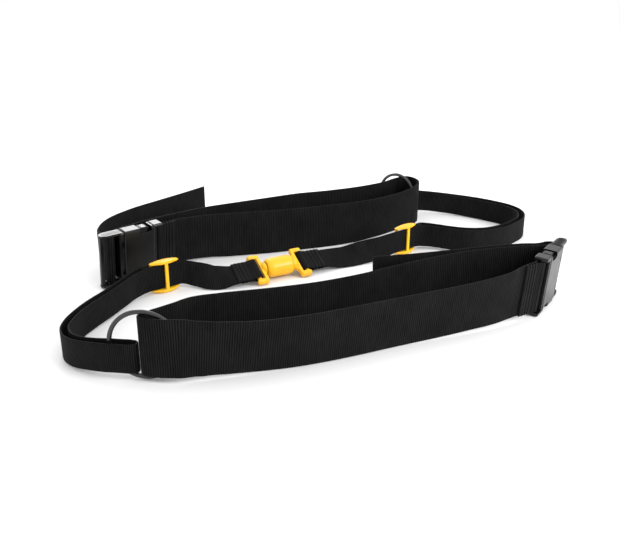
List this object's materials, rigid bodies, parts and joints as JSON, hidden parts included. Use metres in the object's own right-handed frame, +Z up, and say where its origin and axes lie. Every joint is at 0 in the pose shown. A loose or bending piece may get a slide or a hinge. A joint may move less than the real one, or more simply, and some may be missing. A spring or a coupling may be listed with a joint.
{
  "type": "partner agility belt",
  "caption": "Pair of adjustable webbing waist belts with side-release buckles and rings, joined by a narrow leash with sliders and a breakaway coupler.",
  "frame": {"origin": "on the floor, under the centre of the part's box as it lies in the picture", "axes": "+X along the two belts, to the right in the picture, -Y towards the front belt, +Z up; both belts and the leash stand on edge"},
  "size_m": [0.5483, 0.398, 0.0592],
  "materials": {
    "webbing": "ribbed black webbing",
    "black_plastic": "satin moulded black",
    "yellow_plastic": "glossy moulded yellow",
    "ring_steel": "black coated steel wire",
    "pin_steel": "plain steel"
  },
  "bodies": {
    "rear_leash": {"rear_leash_strap": "webbing", "rear_coupler_fitting": "yellow_plastic", "coupler_swivel_pin": "pin_steel"},
    "coupler_barrel": {"coupler_barrel": "yellow_plastic", "coupler_clip": "pin_steel"},
    "front_leash": {"front_leash_strap": "webbing", "front_coupler_fitting": "yellow_plastic"},
    "front_ring": {"front_ring": "ring_steel"},
    "rear_ring": {"rear_ring": "ring_steel"},
    "front_slider": {"front_slider": "yellow_plastic"},
    "rear_slider": {"rear_slider": "yellow_plastic"},
    "front_belt": {"front_belt_strap": "webbing", "front_buckle_female": "black_plastic"},
    "rear_belt": {"rear_belt_strap": "webbing", "rear_buckle_female": "black_plastic"},
    "front_buckle_male": {"front_buckle_male": "black_plastic"},
    "rear_buckle_male": {"rear_buckle_male": "black_plastic"},
    "front_prong_upper": {"front_prong_upper": "black_plastic"},
    "front_prong_lower": {"front_prong_lower": "black_plastic"},
    "rear_prong_upper": {"rear_prong_upper": "black_plastic"},
    "rear_prong_lower": {"rear_prong_lower": "black_plastic"}
  },
  "joints": [
    {"name": "coupler_release", "type": "slide", "parent": "rear_leash", "child": "front_leash", "axis": [-0.9903, -0.1392, 0], "range_m": [0, 0.12], "deforming": ["coupler_clip"]},
    {"name": "barrel_spin", "type": "hinge", "parent": "rear_leash", "child": "coupler_barrel", "pos_m": [-0.0515, 0.0036, 0.012], "axis": [0.9903, 0.1392, 0], "continuous": true},
    {"name": "front_belt_swing", "type": "hinge", "parent": "front_leash", "child": "front_belt", "pos_m": [-0.2145, -0.166, 0.02985], "axis": [0, 0, 1], "range_deg": [-25, 3], "deforming": ["front_belt_strap"]},
    {"name": "rear_belt_swing", "type": "hinge", "parent": "rear_leash", "child": "rear_belt", "pos_m": [0.15479, 0.11978, 0.02985], "axis": [0, 0, 1], "range_deg": [-25, 2], "deforming": ["rear_belt_strap"]},
    {"name": "front_ring_turn", "type": "hinge", "parent": "front_leash", "child": "front_ring", "pos_m": [-0.2145, -0.166, 0.02985], "axis": [0.454, 0.891, 0], "continuous": true},
    {"name": "rear_ring_turn", "type": "hinge", "parent": "rear_leash", "child": "rear_ring", "pos_m": [0.1495, 0.1415, 0.02985], "axis": [0.9135, 0.4067, 0], "continuous": true},
    {"name": "front_slider_slide", "type": "slide", "parent": "front_leash", "child": "front_slider", "axis": [-0.9563, -0.2924, 0], "range_m": [-0.01, 0.01], "deforming": ["front_leash_strap"]},
    {"name": "rear_slider_slide", "type": "slide", "parent": "rear_leash", "child": "rear_slider", "axis": [-0.9397, -0.342, 0], "range_m": [-0.01, 0.01], "deforming": ["rear_leash_strap"]},
    {"name": "front_buckle_release", "type": "slide", "parent": "front_belt", "child": "front_buckle_male", "axis": [0.7986, 0.6018, 0], "range_m": [0, 0.04], "deforming": ["front_belt_strap", "front_prong_upper", "front_prong_lower"]},
    {"name": "rear_buckle_release", "type": "slide", "parent": "rear_belt", "child": "rear_buckle_male", "axis": [-0.9272, -0.3746, 0], "range_m": [0, 0.04], "deforming": ["rear_belt_strap", "rear_prong_upper", "rear_prong_lower"]},
    {"name": "front_prong_upper_press", "type": "hinge", "parent": "front_buckle_male", "child": "front_prong_upper", "pos_m": [0.17401, -0.14417, 0.04438], "axis": [-0.6003, 0.7967, 0.0698], "range_deg": [-11, 0], "stiffness_Nm_per_rad": 0.6},
    {"name": "front_prong_lower_press", "type": "hinge", "parent": "front_buckle_male", "child": "front_prong_lower", "pos_m": [0.17275, -0.1425, 0.01446], "axis": [-0.6003, 0.7967, 0.0698], "range_deg": [0, 11], "stiffness_Nm_per_rad": 0.6},
    {"name": "rear_prong_upper_press", "type": "hinge", "parent": "rear_buckle_male", "child": "rear_prong_upper", "pos_m": [-0.20399, 0.03795, 0.04449], "axis": [0.3726, -0.9221, -0.1045], "range_deg": [-11, 0], "stiffness_Nm_per_rad": 0.6},
    {"name": "rear_prong_lower_press", "type": "hinge", "parent": "rear_buckle_male", "child": "rear_prong_lower", "pos_m": [-0.20516, 0.04086, 0.01466], "axis": [0.3726, -0.9221, -0.1045], "range_deg": [0, 11], "stiffness_Nm_per_rad": 0.6}
  ]
}
